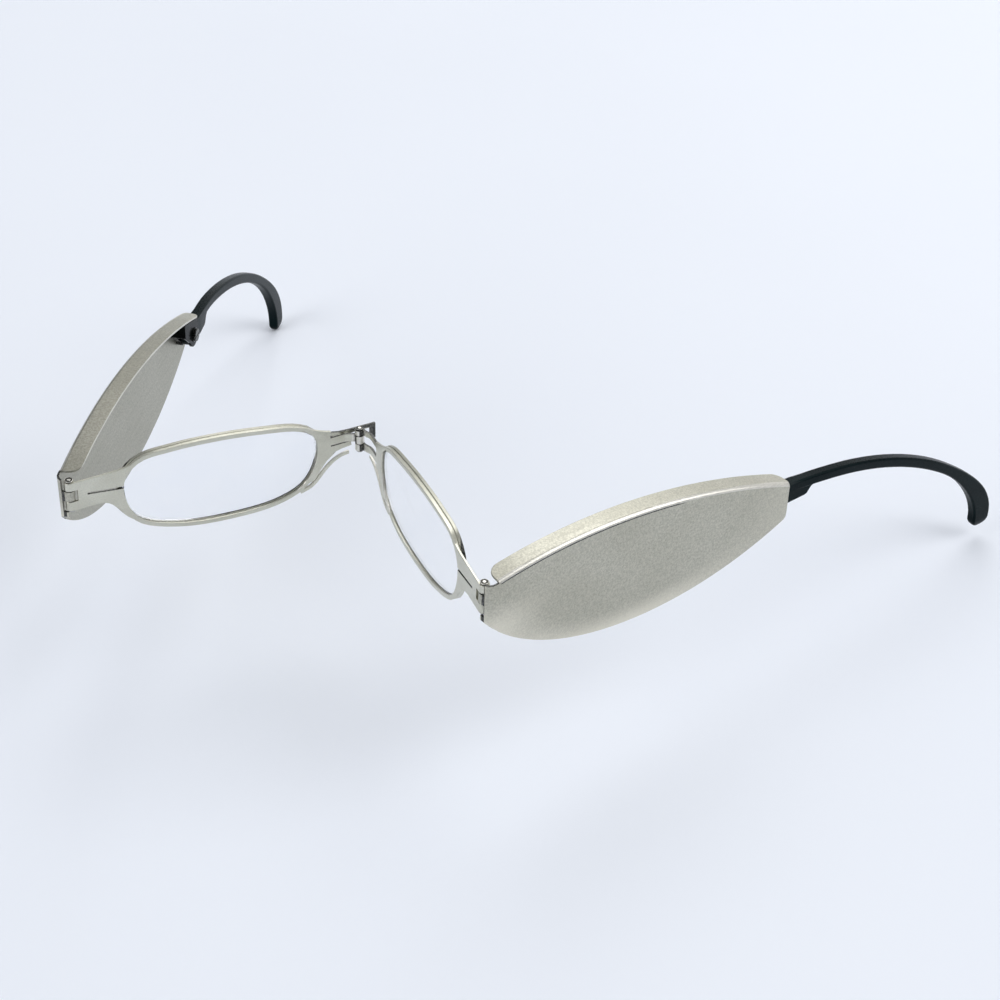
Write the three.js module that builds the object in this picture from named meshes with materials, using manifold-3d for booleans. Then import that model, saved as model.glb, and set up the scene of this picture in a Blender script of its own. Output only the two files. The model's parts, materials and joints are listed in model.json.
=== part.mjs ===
// Folding reading glasses, in millimetres, with +Z up and +Y pointing back towards the wearer.
// Two half fronts hinge at the bridge and close face to face. Each temple is a pressed sheet-metal
// half case hinged to its half front, and carries a plastic ear hook that folds along its lower edge.
import * as THREE from "three";
import { mergeVertices } from "three/addons/utils/BufferGeometryUtils.js";
import Module from "manifold-3d";

const wasm = await Module();
wasm.setup();

// Angles of the pose at rest, in degrees
const HALF_FRONT_ANGLE = 48; // each half front, forward of straight
const LEFT_TEMPLE_ANGLE = 40; // inward from square to its half front
const RIGHT_TEMPLE_ANGLE = 14.5;
const LEFT_HOOK_DROOP = 1.6;
const RIGHT_HOOK_DROOP = -1;

// Sheet metal and running clearances
const SHEET = 0.5;
const BORE_GAP = 0.08;
const END_GAP = 0.15;
const ARC_STEPS = 8;
const OVERRUN = 1; // how far a cutting tool passes the sheet it cuts
const LAP = 0.6; // how far bent tabs run into the sheet they grow from

// Half front: x runs out from the bridge pin, y runs back from the front face
const HALF_SPAN = 63.3; // bridge pin to temple pin
const BRIDGE_PIN_LEAD = 1.5; // bridge pin in front of the front face
const TEMPLE_PIN_SETBACK = 1.1; // temple pin behind the front face
const RIM_WIDTH = 1;
const RIM_DEPTH = 1.7;
const GROOVE_FRONT = 0.5;
const GROOVE_BACK = 1.25;
const GROOVE_DEPTH = 0.6;
const SEAM_FRONT = 0.72; // shallow channel round the rim's outside
const SEAM_BACK = 0.98;
const SEAM_DEPTH = 0.2;
const OPENING_STEPS = 64;
const OPENING_POINTS = [
  [9.2, -5.8],
  [10.1, -2.6],
  [13.6, -0.35],
  [21.5, 1.45],
  [31.4, 2.9],
  [41.4, 3.5],
  [48.6, 3],
  [51.9, 0],
  [52.15, -5.2],
  [49.3, -11],
  [40.6, -15.1],
  [28.4, -17],
  [18.4, -16.8],
  [12.7, -14.6],
  [9.9, -10.4],
];

// End arm, from the rim to the temple hinge
const ARM_TOP = 2.5;
const ARM_BOTTOM = -4.3;
const SLIT_WIDTH = 0.5;
const SLIT_START = [50, -2.3];
const SLIT_END = [60, -0.95];
const ARM_SHOULDER = [49.6, 3]; // where the arm's upper edge leaves the rim
const ARM_TOP_START = 54.8;
const ARM_BOTTOM_START = 58;
const ARM_FOOT = [51, -10.6]; // where its lower edge meets the rim

// Temple hinge
const TEMPLE_KNUCKLE_RADIUS = 1.1;
const TEMPLE_PIN_RADIUS = 0.48;
const STRAP_TOP = 0.4;
const STRAP_BOTTOM = -1.95;
const NOTCH_REACH = 1.3;
const PIN_HEAD_HEIGHT = 0.3;

// Bridge hinge
const BRIDGE_KNUCKLE_RADIUS = 1;
const BRIDGE_PIN_RADIUS = 0.43;
const BRIDGE_ARM_TOP = -2.95;
const BRIDGE_ARM_BOTTOM = -8;
const TONGUE_ROOT = 5.9;
const TONGUE_BEND_END = 3.4;
const UPPER_KNUCKLE = [-4.25, -2.95];
const MIDDLE_KNUCKLE = [-6.35, -4.4];
const LOWER_KNUCKLE = [-8.2, -6.5];
const STOP_OFFSET = 0.65; // stop plate behind the front face
const STOP_TOP = -4.05;
const STOP_WIDTH = 1;
const STOP_REACH = 4.8; // stop plate past the bridge pin
const STOP_LEG_WIDTH = 1.3;
const STOP_LEG_BOTTOM = -7.9;
const NOSE_STRIP_WIDTH = 0.8;
const NOSE_STRIP_STEPS = 21;
const NOSE_STRIP_MIDDLE = [
  [13.4, -16.4],
  [11, -15.7],
  [9.5, -14.5],
  [8.3, -13.1],
  [7, -11.7],
  [5.3, -10.4],
  [3.4, -9.6],
  [1.8, -9.4],
];

// Lens
const LENS_BEVEL = 0.45;
const LENS_FRONT = 0.4;
const LENS_BACK = 1.6;
const LENS_PROFILE = [
  [-END_GAP, LENS_FRONT],
  [-END_GAP / 2, 0.55],
  [LENS_BEVEL, 0.75],
  [LENS_BEVEL, 1],
  [-END_GAP / 2, 1.2],
  [-END_GAP, LENS_BACK],
]; // distance outside the opening, and distance behind the front face

// Temple shell: x runs outboard from the temple pin, y runs back along the temple
const SHELL_FACE = 2.65; // outer face outboard of the temple pin
const SHELL_LENGTH = 79;
const FLANGE_START = 1.6;
const FLANGE_DEPTH = 4.4;
const BEND_RADIUS = 1;
const FRONT_BEND_RADIUS = 1.75; // to the middle of the sheet
const REAR_LIP_RADIUS = 1.2;
const REAR_LIP_LENGTH = 0.94;
const FLANGE_FRONT_CORNER = 2.5;
const FLANGE_REAR_CORNER = 2.2;
const SHELL_STEPS = 40;
const SHELL_BEND_STEPS = 6;
const FRONT_END_TOP = [-2, 3]; // the edge round the shell's front bend, as (y, z)
const FRONT_END_BOTTOM = [-2, -4.9];
const FRONT_PLATE_END = 0.35;
const KNUCKLE_CLEARANCE = 0.35; // under the front arm's lower knuckle
const SHELL_TOP = [
  [0, 3.5],
  [25, 8.65],
  [53, 4.5],
  [SHELL_LENGTH, -6.25],
];
const SHELL_BOTTOM = [
  [0, -7],
  [16.7, -25.2],
  [52.6, -27.5],
  [SHELL_LENGTH, -14.7],
];

// Ear hook and its pivot
const PIVOT_Y = 75;
const PIVOT_Z = -9.3;
const HOOK_THICKNESS = 2.44;
const HOOK_ROOT_MIDDLE_X = 0.26;
const HOOK_ARM_MIDDLE_X = 0.72;
const HOOK_CORNER = 0.55;
const HOOK_JOGGLE_END = 0.13; // share of the curve over which the arm shifts outboard
const HOOK_SWELL = [0.55, 0.95]; // share of the curve over which the arm grows to its tip
const TENON_HALF = 0.8;
const SLOT_HALF = 0.95;
const TENON_RADIUS = 2.6;
const BOSS_RADIUS = 2.9;
const HOOK_STEPS = 30;
const HOOK_HALF_HEIGHT = 1.23;
const HOOK_TIP_HALF_HEIGHT = 2.6;
const HOOK_TIP_LENGTH = 2.4;
const HOOK_TIP_STEPS = 5;
const HOOK_TIP_TAPER = 0.95; // how much thinner the rounded tip ends
const HOOK_ROOT = [
  [4.3, 1.5],
  [5.2, 1.48],
  [7, 1.35],
  [10, 1],
  [13, 0.4],
  [12.6, -1],
  [11.4, -1.5],
  [10.3, -2.9],
  [9.6, -3.1],
  [4.3, -3.1],
];
const HOOK_ROOT_TOP_VIEW = [
  [-0.96, 4],
  [1.48, 4],
  [1.48, 14],
  [-0.6, 14],
  [-0.6, 13],
  [-0.96, 6.5],
];
const HOOK_CURVE = [
  [4.8, 0.3],
  [39.8, -0.1],
  [72.4, -24.6],
  [71.53, -37.97],
];
const SCREW_RADIUS = 0.75;
const SCREW_BORE = 0.9;
const INSERT_RADIUS = 1.25;
const WASHER_RADIUS = 1.7;
const WASHER_THICKNESS = 0.15;
const SCREW_HEAD_RADIUS = 1.5;
const SCREW_HEAD_HEIGHT = 0.45;
const DRIVER_SLOT_WIDTH = 0.3;
const DRIVER_SLOT_DEPTH = 0.2;
const CHEEK_INNER_FACE = -1.55;
const BRACKET_FRONT_Y = 69;
const BRACKET_REAR_Y = 78;
const BRACKET_TOP_GAP = 0.3;

// A closed geometry as a manifold-3d solid.
function solid(geometry) {
  const bare = geometry.clone();
  bare.deleteAttribute("normal");
  bare.deleteAttribute("uv");
  const merged = mergeVertices(bare, 1e-4);
  return new wasm.Manifold(
    new wasm.Mesh({
      numProp: 3,
      vertProperties: merged.attributes.position.array,
      triVerts: new Uint32Array(merged.index.array),
    }),
  );
}

// A manifold-3d solid as a three.js geometry.
function geometryOf(body) {
  const mesh = body.getMesh();
  const geometry = new THREE.BufferGeometry();
  geometry.setAttribute("position", new THREE.BufferAttribute(mesh.vertProperties, 3));
  geometry.setIndex(new THREE.BufferAttribute(mesh.triVerts, 1));
  const faceted = geometry.toNonIndexed();
  faceted.computeVertexNormals();
  return faceted;
}

function join(...bodies) {
  return bodies.reduce((whole, body) => whole.add(body));
}

function cut(body, ...tools) {
  return tools.reduce((rest, tool) => rest.subtract(tool), body);
}

// A straight extrusion of a 2-D shape. The basis says where the shape's X and Y and its depth point.
function extrusion(shape, depth, basis, offset) {
  const geometry = new THREE.ExtrudeGeometry(shape, {
    depth,
    bevelEnabled: false,
    curveSegments: ARC_STEPS,
  });
  geometry.applyMatrix4(basis);
  geometry.translate(...offset);
  return solid(geometry);
}

const X_AXIS = new THREE.Vector3(1, 0, 0);
const Y_AXIS = new THREE.Vector3(0, 1, 0);
const Z_AXIS = new THREE.Vector3(0, 0, 1);
const FRONT_VIEW = new THREE.Matrix4().makeBasis(X_AXIS, Z_AXIS, Y_AXIS.clone().negate());
const SIDE_VIEW = new THREE.Matrix4().makeBasis(Y_AXIS, Z_AXIS, X_AXIS);
const TOP_VIEW = new THREE.Matrix4();

// Shape in (x, z), between two depths y
function frontPlate(shape, yFront, yBack) {
  return extrusion(shape, yBack - yFront, FRONT_VIEW, [0, yBack, 0]);
}

// Shape in (y, z), between two widths x
function sidePlate(shape, xFrom, xTo) {
  return extrusion(shape, xTo - xFrom, SIDE_VIEW, [xFrom, 0, 0]);
}

// Shape in (x, y), between two heights z
function topPlate(shape, zFrom, zTo) {
  return extrusion(shape, zTo - zFrom, TOP_VIEW, [0, 0, zFrom]);
}

function block(xFrom, xTo, yFrom, yTo, zFrom, zTo) {
  const geometry = new THREE.BoxGeometry(xTo - xFrom, yTo - yFrom, zTo - zFrom);
  geometry.translate((xFrom + xTo) / 2, (yFrom + yTo) / 2, (zFrom + zTo) / 2);
  return solid(geometry);
}

function polygon(points) {
  return new THREE.Shape(points.map(([x, y]) => new THREE.Vector2(x, y)));
}

function disc(x, y, radius, boreRadius = 0) {
  const shape = new THREE.Shape();
  shape.absarc(x, y, radius, 0, 2 * Math.PI);
  if (boreRadius > 0) {
    const bore = new THREE.Path();
    bore.absarc(x, y, boreRadius, 0, 2 * Math.PI, true);
    shape.holes.push(bore);
  }
  return shape;
}

function cubic([a, b, c, d]) {
  return new THREE.CubicBezierCurve(...[a, b, c, d].map(([x, y]) => new THREE.Vector2(x, y)));
}

// Height of a cubic edge at a given distance along it; its x rises steadily, so bisection finds it.
function edgeHeight(curve, x) {
  let low = 0;
  let high = 1;
  for (let pass = 0; pass < 40; pass++) {
    const middle = (low + high) / 2;
    if (curve.getPoint(middle).x < x) low = middle;
    else high = middle;
  }
  return curve.getPoint(low).y;
}

// A closed loop moved outwards along its own normals. The loop runs clockwise.
function offsetLoop(loop, distance) {
  return loop.map((point, i) => {
    const before = loop[(i + loop.length - 1) % loop.length];
    const after = loop[(i + 1) % loop.length];
    const along = after.clone().sub(before).normalize();
    return new THREE.Vector2(point.x - along.y * distance, point.y + along.x * distance);
  });
}

// A sheet of the given thickness, seen edge on, along a middle line.
function stripShape(middle, thickness) {
  const left = [];
  const right = [];
  middle.forEach((point, i) => {
    const before = middle[Math.max(i - 1, 0)];
    const after = middle[Math.min(i + 1, middle.length - 1)];
    const along = after.clone().sub(before).normalize();
    const side = new THREE.Vector2(-along.y, along.x).multiplyScalar(thickness / 2);
    left.push(point.clone().add(side));
    right.unshift(point.clone().sub(side));
  });
  return new THREE.Shape([...left, ...right]);
}

// A closed skin through rings that all have the same number of points, capped at both ends.
function skin(rings) {
  const count = rings[0].length;
  const corners = rings.flat().flatMap((p) => [p.x, p.y, p.z]);
  const faces = [];
  for (let r = 0; r + 1 < rings.length; r++)
    for (let i = 0; i < count; i++) {
      const a = r * count + i;
      const b = r * count + ((i + 1) % count);
      faces.push(a, b, b + count, a, b + count, a + count);
    }
  const last = (rings.length - 1) * count;
  for (const [a, b, c] of capFaces(rings[0])) faces.push(a, c, b);
  for (const [a, b, c] of capFaces(rings.at(-1))) faces.push(last + a, last + b, last + c);
  const geometry = new THREE.BufferGeometry();
  geometry.setAttribute("position", new THREE.Float32BufferAttribute(corners, 3));
  geometry.setIndex(faces);
  const made = solid(geometry);
  if (made.volume() > 0) return made;
  geometry.setIndex(faces.reverse());
  return solid(geometry);
}

// Triangles over a flat ring, wound the same way round as the ring.
function capFaces(ring) {
  const normal = new THREE.Vector3();
  ring.forEach((p, i) => normal.add(p.clone().cross(ring[(i + 1) % ring.length])));
  normal.normalize();
  const across = ring[1].clone().sub(ring[0]).normalize();
  const up = normal.clone().cross(across);
  const flat = ring.map((p) => new THREE.Vector2(p.dot(across), p.dot(up)));
  return THREE.ShapeUtils.triangulateShape(flat, []);
}

// ---- Lens and front sheet ----

const openingLoop = new THREE.CatmullRomCurve3(
  OPENING_POINTS.map(([x, z]) => new THREE.Vector3(x, z, 0)),
  true,
  "centripetal",
)
  .getSpacedPoints(OPENING_STEPS)
  .slice(0, OPENING_STEPS)
  .map((p) => new THREE.Vector2(p.x, p.y));

function openingShape(distance) {
  return new THREE.Shape(offsetLoop(openingLoop, distance));
}

function lensBody() {
  const rings = LENS_PROFILE.map(([distance, y]) =>
    offsetLoop(openingLoop, distance).map((p) => new THREE.Vector3(p.x, y, p.y)),
  );
  return skin(rings);
}

function rim() {
  const ring = frontPlate(openingShape(RIM_WIDTH), 0, RIM_DEPTH);
  const opening = frontPlate(openingShape(0), -OVERRUN, RIM_DEPTH + OVERRUN);
  const groove = frontPlate(openingShape(GROOVE_DEPTH), GROOVE_FRONT, GROOVE_BACK);
  const seam = cut(
    frontPlate(openingShape(RIM_WIDTH + OVERRUN), SEAM_FRONT, SEAM_BACK),
    frontPlate(openingShape(RIM_WIDTH - SEAM_DEPTH), SEAM_FRONT - OVERRUN, SEAM_BACK + OVERRUN),
  );
  return cut(ring, opening, groove, seam);
}

// Sheet arm from the rim to the temple hinge, with the slit that lets the lens snap in.
function endArm() {
  const outline = new THREE.Shape();
  const [shoulderX, shoulderZ] = ARM_SHOULDER;
  const [footX, footZ] = ARM_FOOT;
  outline.moveTo(shoulderX, shoulderZ);
  outline.bezierCurveTo(shoulderX + 2, shoulderZ - 0.1, 52.4, ARM_TOP, ARM_TOP_START, ARM_TOP);
  outline.lineTo(HALF_SPAN, ARM_TOP);
  outline.lineTo(HALF_SPAN, ARM_BOTTOM);
  outline.lineTo(ARM_BOTTOM_START, ARM_BOTTOM);
  outline.bezierCurveTo(54.2, ARM_BOTTOM, 54.2, -8, footX, footZ);
  outline.lineTo(footX - 0.4, footZ + 0.4);
  outline.closePath();
  const centre = [new THREE.Vector2(...SLIT_START), new THREE.Vector2(...SLIT_END)];
  const slit = frontPlate(stripShape(centre, SLIT_WIDTH), -OVERRUN, RIM_DEPTH + OVERRUN);
  const strapNotch = block(
    HALF_SPAN - NOTCH_REACH,
    HALF_SPAN + OVERRUN,
    -OVERRUN,
    SHEET + OVERRUN,
    STRAP_BOTTOM - END_GAP,
    STRAP_TOP + END_GAP,
  );
  return { sheet: frontPlate(outline, 0, SHEET), cuts: [slit, strapNotch] };
}

// Rolled knuckles at the end of the arm, above and below the temple's strap.
function endKnuckles() {
  const boreRadius = TEMPLE_PIN_RADIUS + BORE_GAP;
  const ring = disc(HALF_SPAN, TEMPLE_PIN_SETBACK, TEMPLE_KNUCKLE_RADIUS, boreRadius);
  return [
    topPlate(ring, STRAP_TOP + END_GAP, ARM_TOP),
    topPlate(ring, ARM_BOTTOM, STRAP_BOTTOM - END_GAP),
  ];
}

// Sheet between the rim and the bridge tongues, common to both halves.
function bridgeArm() {
  const outline = new THREE.Shape();
  outline.moveTo(13.4, 0.4);
  outline.bezierCurveTo(10.6, -0.6, 9, -1.9, TONGUE_ROOT, BRIDGE_ARM_TOP + 0.2);
  outline.lineTo(TONGUE_ROOT + 0.2, -3.5);
  outline.lineTo(TONGUE_ROOT + 0.1, -9.2);
  outline.bezierCurveTo(7.8, -10.4, 8.8, -12.4, 10, -14.3);
  outline.lineTo(11.6, -14.6);
  outline.lineTo(12, -6);
  outline.closePath();
  return frontPlate(outline, 0, SHEET);
}

// Spring strip that rests on the nose: joined to the rim at its foot, free at its upper end.
function noseRest() {
  const knots = NOSE_STRIP_MIDDLE.map(([x, z]) => new THREE.Vector3(x, z, 0));
  const middle = new THREE.CatmullRomCurve3(knots).getPoints(NOSE_STRIP_STEPS);
  const points = middle.map((p) => new THREE.Vector2(p.x, p.y));
  return frontPlate(stripShape(points, NOSE_STRIP_WIDTH), 0, SHEET);
}

// A tongue of the sheet that steps forward and rolls round the bridge pin.
function rolledTongue([zFrom, zTo]) {
  const pinSide = SHEET / 2 - BRIDGE_PIN_LEAD + BRIDGE_KNUCKLE_RADIUS - SHEET;
  const step = cubic([
    [0, pinSide],
    [TONGUE_BEND_END / 2, pinSide],
    [TONGUE_BEND_END / 2, SHEET / 2],
    [TONGUE_BEND_END, SHEET / 2],
  ]);
  const middle = [...step.getPoints(ARC_STEPS), new THREE.Vector2(TONGUE_ROOT + LAP, SHEET / 2)];
  const boreRadius = BRIDGE_PIN_RADIUS + BORE_GAP;
  const ring = disc(0, -BRIDGE_PIN_LEAD, BRIDGE_KNUCKLE_RADIUS, boreRadius);
  const bore = topPlate(disc(0, -BRIDGE_PIN_LEAD, boreRadius), zFrom - OVERRUN, zTo + OVERRUN);
  const leaf = topPlate(stripShape(middle, SHEET), zFrom, zTo);
  return cut(join(leaf, topPlate(ring, zFrom, zTo)), bore);
}

// Plate that passes behind the other half's bridge arm and stops the front when it is straight.
function bridgeStop() {
  const plateMiddle = STOP_OFFSET + SHEET / 2;
  const step = cubic([
    [TONGUE_ROOT - 1, SHEET / 2],
    [TONGUE_BEND_END, SHEET / 2],
    [TONGUE_BEND_END, plateMiddle],
    [TONGUE_BEND_END - 1.5, plateMiddle],
  ]);
  const middle = [
    new THREE.Vector2(TONGUE_ROOT + LAP, SHEET / 2),
    ...step.getPoints(ARC_STEPS),
    new THREE.Vector2(-STOP_REACH, plateMiddle),
  ];
  const outline = polygon([
    [TONGUE_ROOT + LAP, BRIDGE_ARM_TOP + 0.1],
    [TONGUE_ROOT - 1.3, -3.3],
    [TONGUE_BEND_END - 1, STOP_TOP],
    [-STOP_REACH, STOP_TOP - 0.1],
    [-STOP_REACH, STOP_LEG_BOTTOM],
    [STOP_LEG_WIDTH - STOP_REACH, STOP_LEG_BOTTOM],
    [STOP_LEG_WIDTH - STOP_REACH, STOP_TOP - STOP_WIDTH],
    [TONGUE_BEND_END - 1, STOP_TOP - STOP_WIDTH],
    [TONGUE_ROOT - 1.3, MIDDLE_KNUCKLE[1] + 0.3],
    [TONGUE_ROOT + LAP, MIDDLE_KNUCKLE[1] + 0.3],
  ]);
  const profile = topPlate(stripShape(middle, SHEET), STOP_LEG_BOTTOM - 1, 0);
  return frontPlate(outline, -1, STOP_OFFSET + 1).intersect(profile);
}

// Short stub of sheet under the middle tongue of the left half.
function lowerStub() {
  const outline = polygon([
    [TONGUE_ROOT + LAP, MIDDLE_KNUCKLE[0] - 0.25],
    [1.4, MIDDLE_KNUCKLE[0] - 0.25],
    [1.2, LOWER_KNUCKLE[0] + 0.5],
    [3.4, BRIDGE_ARM_BOTTOM + 0.1],
    [5, BRIDGE_ARM_BOTTOM - 0.3],
    [TONGUE_ROOT + LAP, -9.6],
  ]);
  return frontPlate(outline, 0, SHEET);
}

function frontBody(isLeft) {
  const arm = endArm();
  const tongues = isLeft
    ? [bridgeStop(), rolledTongue(MIDDLE_KNUCKLE), lowerStub()]
    : [rolledTongue(UPPER_KNUCKLE), rolledTongue(LOWER_KNUCKLE)];
  const opening = frontPlate(openingShape(0), -OVERRUN, SHEET + OVERRUN);
  const sheets = cut(join(arm.sheet, bridgeArm()), opening);
  return cut(join(sheets, rim(), noseRest(), ...tongues, ...endKnuckles()), ...arm.cuts);
}

// A round pin with a flat head at each end, standing on the z axis through (x, y).
function headedPin(x, y, radius, headRadius, zFrom, zTo) {
  const profile = [
    [0, zFrom - PIN_HEAD_HEIGHT],
    [headRadius, zFrom - PIN_HEAD_HEIGHT],
    [headRadius, zFrom],
    [radius, zFrom],
    [radius, zTo],
    [headRadius, zTo],
    [headRadius, zTo + PIN_HEAD_HEIGHT],
    [0, zTo + PIN_HEAD_HEIGHT],
  ].map(([r, z]) => new THREE.Vector2(r, z));
  const geometry = new THREE.LatheGeometry(profile, 2 * ARC_STEPS);
  geometry.rotateX(Math.PI / 2);
  geometry.translate(x, y, 0);
  return solid(geometry);
}

function bridgePin() {
  const top = UPPER_KNUCKLE[1] + BORE_GAP;
  const bottom = LOWER_KNUCKLE[0] - BORE_GAP;
  return headedPin(0, -BRIDGE_PIN_LEAD, BRIDGE_PIN_RADIUS, 0.75, bottom, top);
}

function templePin() {
  const top = ARM_TOP + BORE_GAP;
  const bottom = ARM_BOTTOM - BORE_GAP;
  return headedPin(HALF_SPAN, TEMPLE_PIN_SETBACK, TEMPLE_PIN_RADIUS, 0.9, bottom, top);
}

// ---- Temple shell ----

const shellTopEdge = cubic(SHELL_TOP);
const shellBottomEdge = cubic(SHELL_BOTTOM);

// How far a round corner of the given radius has pulled in, at a distance from its far end.
function cornerPull(radius, distance) {
  if (distance >= radius) return 0;
  return radius - Math.sqrt(radius ** 2 - (radius - distance) ** 2);
}

// Cross-section of the shell at a distance y from the temple pin: flange, bend and side wall.
function shellSection(y) {
  const fromEnd = SHELL_LENGTH - y;
  const fromStart = y - FLANGE_START;
  const top = edgeHeight(shellTopEdge, y);
  const bottom = edgeHeight(shellBottomEdge, y) + cornerPull(REAR_LIP_RADIUS, fromEnd);
  const lipStart = REAR_LIP_RADIUS - REAR_LIP_LENGTH;
  const face = SHELL_FACE - cornerPull(REAR_LIP_RADIUS, fromEnd + lipStart);
  const tip =
    SHELL_FACE -
    FLANGE_DEPTH +
    cornerPull(FLANGE_FRONT_CORNER, fromStart) +
    cornerPull(FLANGE_REAR_CORNER, fromEnd);
  const bend = (radius) =>
    new THREE.Path()
      .absarc(face - BEND_RADIUS, top - BEND_RADIUS, radius, Math.PI / 2, 0, true)
      .getPoints(SHELL_BEND_STEPS);
  const outer = [[tip, top], ...bend(BEND_RADIUS).map((p) => [p.x, p.y]), [face, bottom]];
  const inner = [
    [tip, top - SHEET],
    ...bend(BEND_RADIUS - SHEET).map((p) => [p.x, p.y]),
    [face - SHEET, bottom],
  ];
  return [...outer, ...inner.reverse()].map(([x, z]) => new THREE.Vector3(x, y, z));
}

// The shell's front end bends round to meet the temple pin, and its middle strap rolls round the pin.
function shellFront() {
  const middleFace = SHELL_FACE - SHEET / 2;
  const bendCentreX = middleFace - FRONT_BEND_RADIUS;
  const bendCentreY = FRONT_BEND_RADIUS + SHEET / 2 - TEMPLE_KNUCKLE_RADIUS;
  const bend = new THREE.Path()
    .absarc(bendCentreX, bendCentreY, FRONT_BEND_RADIUS, 0, -Math.PI / 2, true)
    .getPoints(ARC_STEPS);
  const strapMiddle = SHEET / 2 - TEMPLE_KNUCKLE_RADIUS;
  const wallEnd = FLANGE_START + 0.4;
  const middle = [
    new THREE.Vector2(middleFace, wallEnd),
    ...bend,
    new THREE.Vector2(FRONT_PLATE_END, strapMiddle),
  ];
  const wallTop = edgeHeight(shellTopEdge, wallEnd) - BEND_RADIUS / 2;
  const wallBottom = edgeHeight(shellBottomEdge, wallEnd) + 0.1;
  const wall = topPlate(stripShape(middle, SHEET), wallBottom - OVERRUN, wallTop + OVERRUN);
  const sideOutline = sidePlate(
    polygon([FRONT_END_TOP, [wallEnd, wallTop], [wallEnd, wallBottom], SHELL_BOTTOM[0], FRONT_END_BOTTOM]),
    -OVERRUN,
    SHELL_FACE + OVERRUN,
  );
  const notch = (zFrom, zTo) => block(-OVERRUN, NOTCH_REACH, FRONT_END_TOP[0], OVERRUN, zFrom, zTo);
  const upperNotch = notch(STRAP_TOP, wallTop + OVERRUN);
  const lowerNotch = notch(ARM_BOTTOM - KNUCKLE_CLEARANCE, STRAP_BOTTOM);
  const strapBack = SHEET - TEMPLE_KNUCKLE_RADIUS;
  const strapEnd = 2 * FRONT_PLATE_END;
  const strap = block(0, strapEnd, -TEMPLE_KNUCKLE_RADIUS, strapBack, STRAP_BOTTOM, STRAP_TOP);
  const boreRadius = TEMPLE_PIN_RADIUS + BORE_GAP;
  const ring = topPlate(disc(0, 0, TEMPLE_KNUCKLE_RADIUS), STRAP_BOTTOM, STRAP_TOP);
  const bore = topPlate(disc(0, 0, boreRadius), STRAP_BOTTOM - OVERRUN, STRAP_TOP + OVERRUN);
  const trimmed = cut(wall.intersect(sideOutline), upperNotch, lowerNotch);
  return cut(join(trimmed, strap, ring), bore);
}

function shellBody() {
  const rings = [];
  for (let i = 0; i <= SHELL_STEPS; i++) {
    const share = (1 - Math.cos((Math.PI * i) / SHELL_STEPS)) / 2;
    rings.push(shellSection(FLANGE_START + share * (SHELL_LENGTH - FLANGE_START)));
  }
  return join(skin(rings), shellFront());
}

// ---- Ear hook, its bracket and its pivot ----

// Height just under the shell's flange at a distance y from the temple pin.
function underFlange(y) {
  return edgeHeight(shellTopEdge, y) - SHEET - BRACKET_TOP_GAP;
}

function bracketBody() {
  const outline = polygon([
    [BRACKET_FRONT_Y, underFlange(BRACKET_FRONT_Y)],
    [BRACKET_FRONT_Y, -6.8],
    [72.5, -10.3],
    [BRACKET_REAR_Y - 0.8, -10],
    [BRACKET_REAR_Y, -8.5],
    [BRACKET_REAR_Y, underFlange(BRACKET_REAR_Y)],
    [(BRACKET_FRONT_Y + BRACKET_REAR_Y) / 2, underFlange((BRACKET_FRONT_Y + BRACKET_REAR_Y) / 2)],
  ]);
  const outerFace = SHELL_FACE - SHEET - BORE_GAP;
  const cheeks = join(
    sidePlate(outline, CHEEK_INNER_FACE, outerFace),
    sidePlate(disc(PIVOT_Y, PIVOT_Z, BOSS_RADIUS), CHEEK_INNER_FACE, outerFace),
  );
  const slot = sidePlate(
    polygon([
      [PIVOT_Y - BOSS_RADIUS - 0.1, -3],
      [PIVOT_Y - BOSS_RADIUS - 0.1, -7.6],
      [BRACKET_FRONT_Y - 1, -6.9],
      [BRACKET_FRONT_Y - 1, -14],
      [BRACKET_REAR_Y + 1, -14],
      [BRACKET_REAR_Y + 1, -6],
    ]),
    -SLOT_HALF,
    SLOT_HALF,
  );
  const screwBore = sidePlate(disc(PIVOT_Y, PIVOT_Z, SCREW_BORE), CHEEK_INNER_FACE - OVERRUN, 0);
  const insertBore = sidePlate(disc(PIVOT_Y, PIVOT_Z, INSERT_RADIUS + BORE_GAP), 0, SHELL_FACE);
  return cut(cheeks, slot, screwBore, insertBore);
}

function threadedInsertBody() {
  const ring = disc(PIVOT_Y, PIVOT_Z, INSERT_RADIUS, SCREW_RADIUS + BORE_GAP);
  return sidePlate(ring, SLOT_HALF + BORE_GAP, SHELL_FACE - SHEET - 2 * BORE_GAP);
}

function frictionWasherBody() {
  const ring = disc(PIVOT_Y, PIVOT_Z, WASHER_RADIUS, SCREW_BORE);
  const face = CHEEK_INNER_FACE - BORE_GAP;
  return sidePlate(ring, face - WASHER_THICKNESS, face);
}

// Shoulder screw through the washer, the inner cheek and the hook into the threaded insert.
function pivotScrewBody() {
  const headFace = CHEEK_INNER_FACE - WASHER_THICKNESS - 2 * BORE_GAP;
  const headTop = headFace - SCREW_HEAD_HEIGHT;
  const shankEnd = SHELL_FACE - SHEET - 0.4;
  const shank = sidePlate(disc(PIVOT_Y, PIVOT_Z, SCREW_RADIUS), headFace - 0.2, shankEnd);
  const head = sidePlate(disc(PIVOT_Y, PIVOT_Z, SCREW_HEAD_RADIUS), headTop, headFace);
  const driverSlot = block(
    headTop - OVERRUN,
    headTop + DRIVER_SLOT_DEPTH,
    PIVOT_Y - WASHER_RADIUS,
    PIVOT_Y + WASHER_RADIUS,
    PIVOT_Z - DRIVER_SLOT_WIDTH / 2,
    PIVOT_Z + DRIVER_SLOT_WIDTH / 2,
  );
  return cut(join(shank, head), driverSlot);
}

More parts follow.
